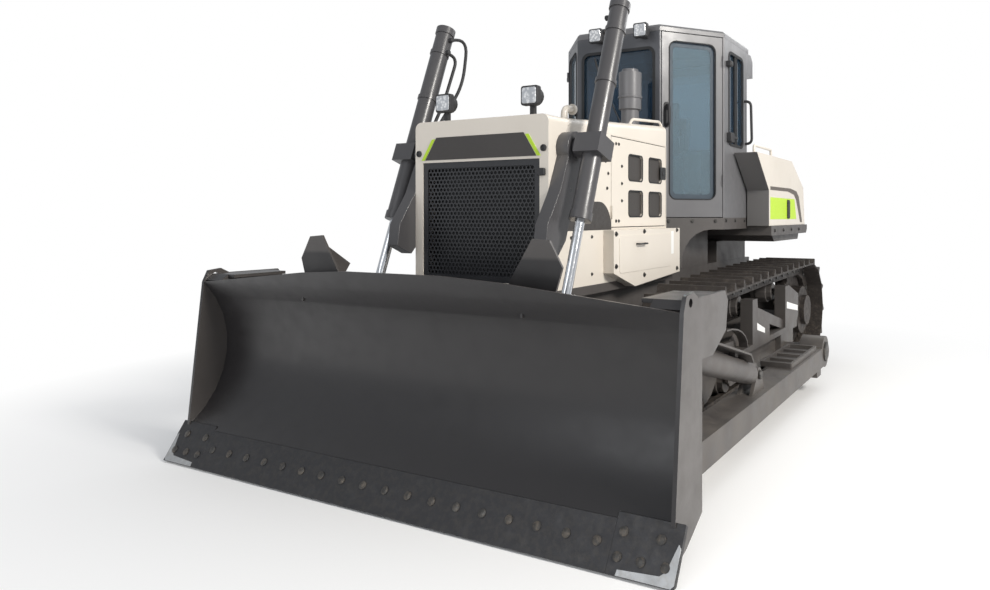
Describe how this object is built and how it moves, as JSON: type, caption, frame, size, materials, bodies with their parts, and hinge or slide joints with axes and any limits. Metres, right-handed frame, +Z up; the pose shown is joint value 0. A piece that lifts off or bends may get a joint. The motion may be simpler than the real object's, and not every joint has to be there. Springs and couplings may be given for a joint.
{
  "type": "crawler bulldozer",
  "caption": "Crawler bulldozer with a straight blade on push arms outside its tracks, two lift cylinders, a hood with grille and a glazed cab.",
  "frame": {"origin": "on the ground, half way along the machine, between its tracks", "axes": "+X to the machine's left, +Y to the rear, +Z up"},
  "size_m": [3.388, 5.15, 3.065],
  "materials": {
    "cream_paint": "semi gloss",
    "cab_paint": "satin",
    "glass": "clear tinted",
    "track_steel": "matt",
    "seat_cloth": "woven",
    "black_plastic": "matt",
    "chrome_rod": "polished",
    "engine_paint": "satin",
    "lamp_lens": "clear",
    "frame_paint": "satin"
  },
  "bodies": {
    "machine": {"ac_unit": "cab_paint", "air_cleaner": "black_plastic", "cab_front": "cab_paint", "cab_glass": "glass", "cab_rear": "cab_paint", "cab_roof": "cab_paint", "cab_sides": "cab_paint", "carrier_rollers": "frame_paint", "control_boxes": "black_plastic", "cylinder_brackets": "frame_paint", "dashboard": "black_plastic", "deck_stands": "frame_paint", "drawbar": "frame_paint", "engine": "engine_paint", "final_drives": "frame_paint", "frame_beams": "frame_paint", "fuel_tank": "cream_paint", "grille": "black_plastic", "hood_top": "cream_paint", "idler_forks": "frame_paint", "idlers": "frame_paint", "main_frame": "frame_paint", "platform": "frame_paint", "radiator": "engine_paint", "radiator_guard": "cream_paint", "seat": "seat_cloth", "seat_base": "black_plastic", "side_panels": "cream_paint", "sprockets": "frame_paint", "tank_deck": "frame_paint", "tool_boxes": "cream_paint", "track_frame_left": "frame_paint", "track_frame_right": "frame_paint", "track_left": "track_steel", "track_right": "track_steel", "track_rollers": "frame_paint", "work_lamps": "lamp_lens"},
    "blade_assembly": {"blade": "frame_paint", "cutting_edge": "track_steel", "end_bits": "track_steel", "push_arm_left": "frame_paint", "push_arm_right": "frame_paint", "tilt_struts": "frame_paint"},
    "lift_barrel_left": {"lift_barrel_left": "frame_paint", "lift_yoke_left": "frame_paint"},
    "lift_rod_left": {"lift_rod_left": "chrome_rod"},
    "cab_door_left": {"cab_door_left": "cab_paint", "door_glass_left": "glass"},
    "vent_door_left": {"vent_door_left": "cream_paint"},
    "lift_barrel_right": {"lift_barrel_right": "frame_paint", "lift_yoke_right": "frame_paint"},
    "lift_rod_right": {"lift_rod_right": "chrome_rod"},
    "cab_door_right": {"cab_door_right": "cab_paint", "door_glass_right": "glass"},
    "vent_door_right": {"vent_door_right": "cream_paint"}
  },
  "joints": [
    {"name": "blade_lift", "type": "hinge", "parent": "machine", "child": "blade_assembly", "pos_m": [0, 1.175, 0.3], "axis": [-1, 0, 0], "range_deg": [-6.2, 15.5]},
    {"name": "lift_swing_left", "type": "hinge", "parent": "machine", "child": "lift_barrel_left", "pos_m": [0.713, -1.52, 1.9], "axis": [-1, 0, 0], "range_deg": [-4, 10]},
    {"name": "lift_stroke_left", "type": "slide", "parent": "lift_barrel_left", "child": "lift_rod_left", "axis": [0, 0.3358, 0.9419], "range_m": [-0.338, 0.842]},
    {"name": "cab_door_left_swing", "type": "hinge", "parent": "machine", "child": "cab_door_left", "pos_m": [0.77521, 0.54183, 2.2], "axis": [0, 0, 1], "range_deg": [0, 130]},
    {"name": "vent_door_left_swing", "type": "hinge", "parent": "machine", "child": "vent_door_left", "pos_m": [0.52, -0.943, 1.7], "axis": [0, 0, -1], "range_deg": [0, 95]},
    {"name": "lift_swing_right", "type": "hinge", "parent": "machine", "child": "lift_barrel_right", "pos_m": [-0.713, -1.52, 1.9], "axis": [-1, 0, 0], "range_deg": [-4, 10]},
    {"name": "lift_stroke_right", "type": "slide", "parent": "lift_barrel_right", "child": "lift_rod_right", "axis": [0, 0.3358, 0.9419], "range_m": [-0.338, 0.842]},
    {"name": "cab_door_right_swing", "type": "hinge", "parent": "machine", "child": "cab_door_right", "pos_m": [-0.77521, 0.54183, 2.2], "axis": [0, 0, -1], "range_deg": [0, 130]},
    {"name": "vent_door_right_swing", "type": "hinge", "parent": "machine", "child": "vent_door_right", "pos_m": [-0.52, -0.943, 1.7], "axis": [0, 0, 1], "range_deg": [0, 95]}
  ],
  "couplings": [
    {"joint": "lift_swing_left", "follows": "blade_lift", "ratio": 0.6387},
    {"joint": "lift_stroke_left", "follows": "blade_lift", "m_per_rad": 3.1054},
    {"joint": "lift_swing_right", "follows": "blade_lift", "ratio": 0.6387},
    {"joint": "lift_stroke_right", "follows": "blade_lift", "m_per_rad": 3.1054}
  ]
}
